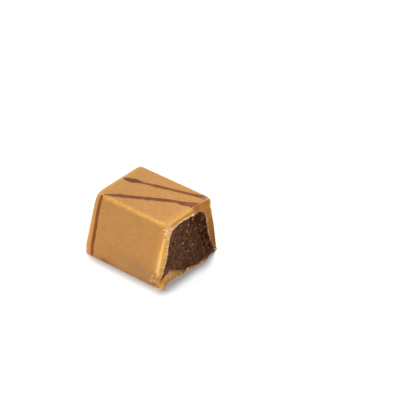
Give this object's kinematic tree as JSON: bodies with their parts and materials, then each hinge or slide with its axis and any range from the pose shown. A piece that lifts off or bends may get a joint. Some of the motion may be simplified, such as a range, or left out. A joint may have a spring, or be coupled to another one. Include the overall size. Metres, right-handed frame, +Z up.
{
  "type": "chocolate praline",
  "caption": "Cut half of a moulded caramel-chocolate praline bar, showing its dark crumbly filling, with thin dark drizzle lines over the top and down a side.",
  "frame": {"origin": "on the resting surface, under the middle of the piece", "axes": "+X along the bar towards the cut face, +Y across the bar away from the side with the drizzle, +Z up"},
  "size_m": [0.0241, 0.0202, 0.0155],
  "materials": {
    "caramel_chocolate": "satin",
    "dark_filling": "matte",
    "dark_drizzle": "satin"
  },
  "bodies": {
    "root": {"shell": "caramel_chocolate", "filling": "dark_filling"}
  },
  "joints": []
}
